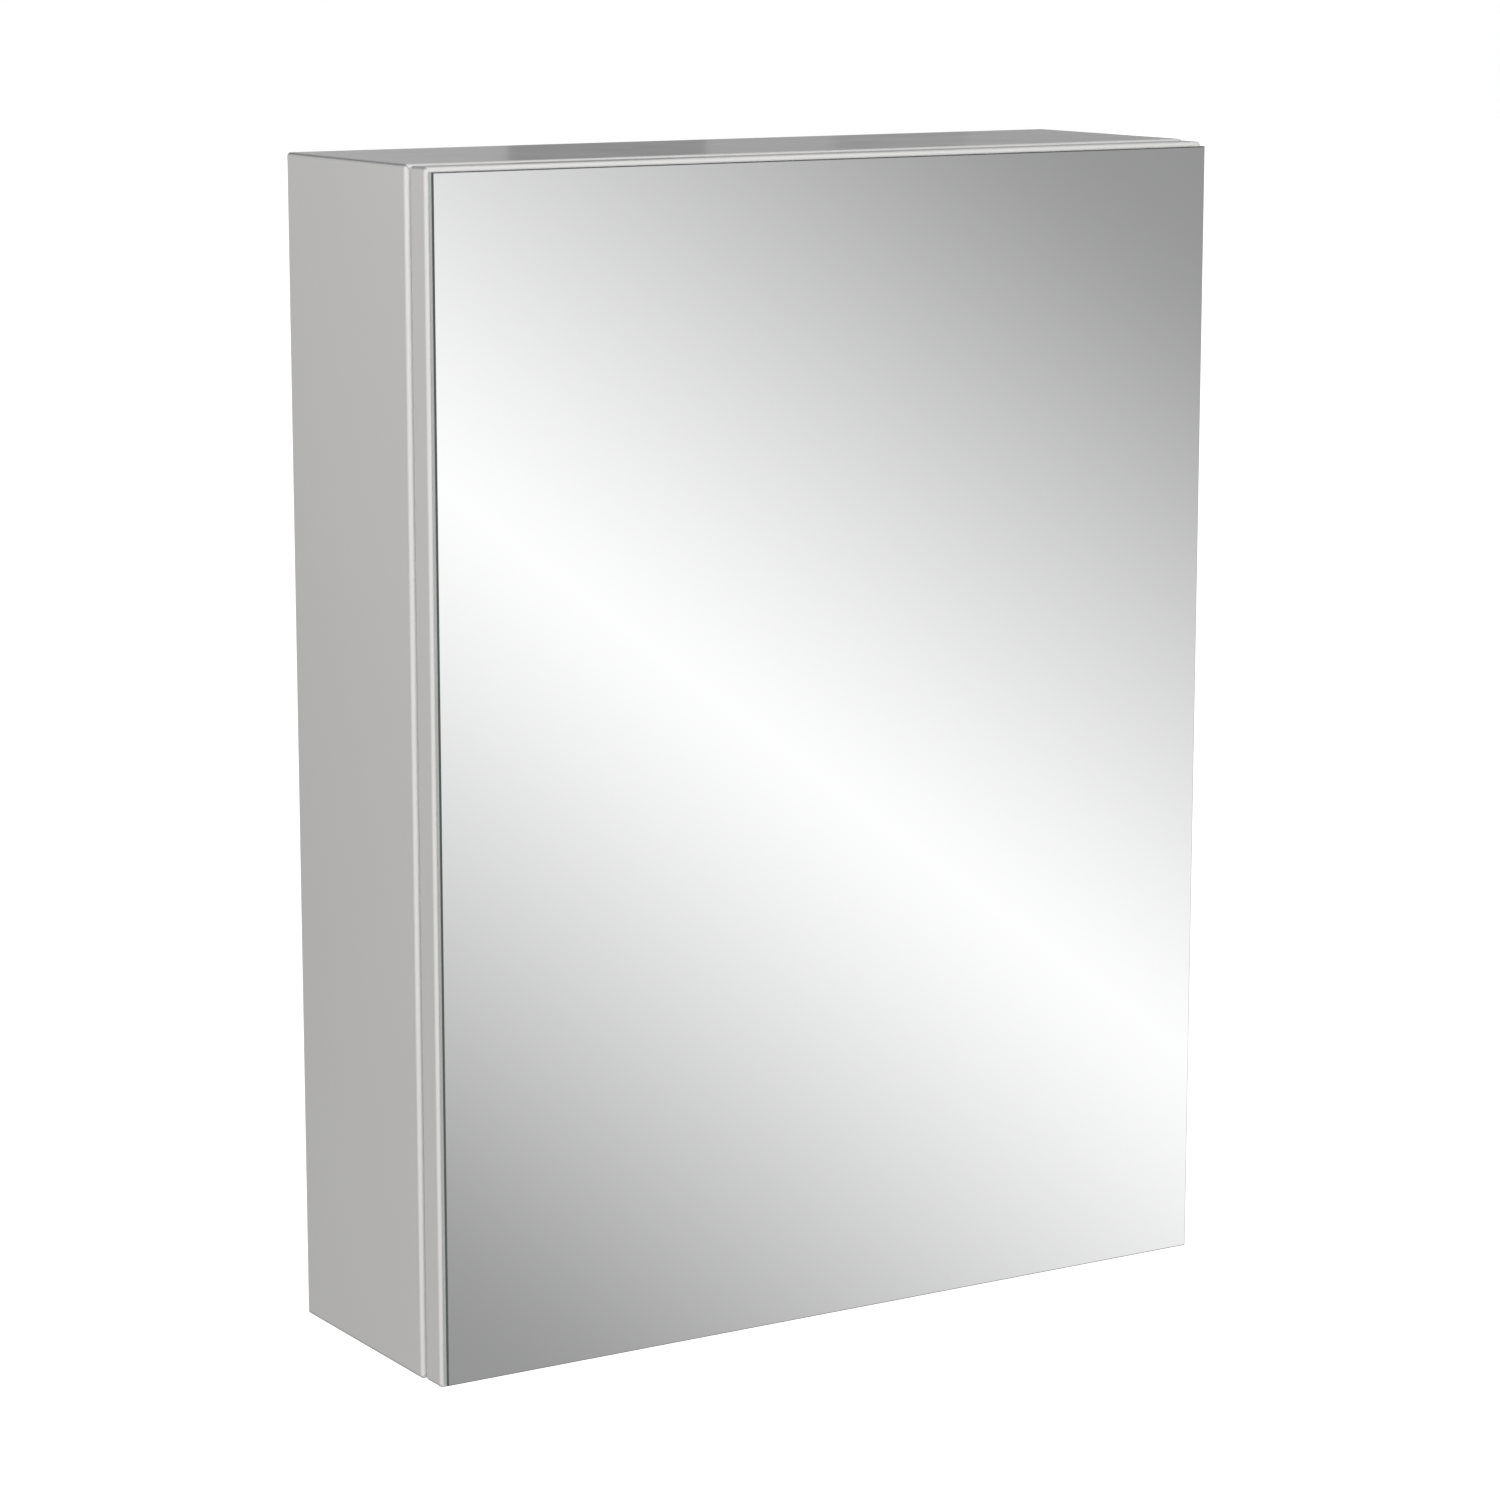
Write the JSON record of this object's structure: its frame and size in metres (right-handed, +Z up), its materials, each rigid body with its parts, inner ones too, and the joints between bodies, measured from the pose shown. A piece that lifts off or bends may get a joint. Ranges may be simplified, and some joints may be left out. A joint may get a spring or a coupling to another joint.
{
  "type": "medicine cabinet",
  "caption": "Shallow wall-hung bathroom cabinet with a handle-less door covered by a mirror, concealed hinges and glass shelves.",
  "frame": {"origin": "centre of the rear face, on the wall plane", "axes": "+Z up, +Y into the wall, so the mirrored front faces -Y; +X to the right of someone facing the mirror"},
  "size_m": [0.46, 0.15, 0.6],
  "materials": {
    "carcass_foil": "satin-gloss white foil on board",
    "door_foil": "satin-gloss white foil on board",
    "back_board": "matt white lacquered hardboard",
    "mirror": "silvered float glass with a ground arris",
    "shelf_glass": "clear float glass with polished edges",
    "nickel": "nickel plated",
    "zinc": "bright zinc plated",
    "pin_steel": "plain steel",
    "catch_plastic": "white moulded plastic",
    "magnet": "dark sintered magnet",
    "buffer": "soft clear buffer",
    "tape": "double-sided foam tape",
    "spline_ply": "raw birch plywood"
  },
  "bodies": {
    "cabinet": {"back_panel": "back_board", "back_screw_bottom": "zinc", "back_screw_lower_left": "zinc", "back_screw_lower_right": "zinc", "back_screw_top": "zinc", "back_screw_upper_left": "zinc", "back_screw_upper_right": "zinc", "bottom_left_mitre_spline": "spline_ply", "bottom_panel": "carcass_foil", "bottom_right_mitre_spline": "spline_ply", "catch_body": "catch_plastic", "catch_magnet": "magnet", "catch_screw_lower": "zinc", "catch_screw_upper": "zinc", "hanging_rail": "carcass_foil", "left_rail_washer": "zinc", "left_side_panel": "carcass_foil", "lower_glass_shelf": "shelf_glass", "lower_hinge_arm": "nickel", "lower_hinge_arm_screw_lower": "zinc", "lower_hinge_arm_screw_upper": "zinc", "lower_shelf_peg_left_front": "nickel", "lower_shelf_peg_left_rear": "nickel", "lower_shelf_peg_right_front": "nickel", "lower_shelf_peg_right_rear": "nickel", "right_rail_washer": "zinc", "right_side_panel": "carcass_foil", "top_left_mitre_spline": "spline_ply", "top_panel": "carcass_foil", "top_right_mitre_spline": "spline_ply", "upper_glass_shelf": "shelf_glass", "upper_hinge_arm": "nickel", "upper_hinge_arm_screw_lower": "zinc", "upper_hinge_arm_screw_upper": "zinc", "upper_shelf_peg_left_front": "nickel", "upper_shelf_peg_left_rear": "nickel", "upper_shelf_peg_right_front": "nickel", "upper_shelf_peg_right_rear": "nickel"},
    "door": {"door_panel": "door_foil", "far_left_mirror_tape": "tape", "far_right_mirror_tape": "tape", "left_mirror_tape": "tape", "lower_door_buffer": "buffer", "lower_hinge_cup": "nickel", "lower_hinge_cup_screw_lower": "zinc", "lower_hinge_cup_screw_upper": "zinc", "lower_hinge_pin": "pin_steel", "mirror_glass": "mirror", "right_mirror_tape": "tape", "strike_plate": "zinc", "upper_door_buffer": "buffer", "upper_hinge_cup": "nickel", "upper_hinge_cup_screw_lower": "zinc", "upper_hinge_cup_screw_upper": "zinc", "upper_hinge_pin": "pin_steel"}
  },
  "joints": [
    {"name": "door_hinge", "type": "hinge", "parent": "cabinet", "child": "door", "pos_m": [0.2198, -0.1375, 0], "axis": [0, 0, 1], "range_deg": [0, 105]}
  ]
}
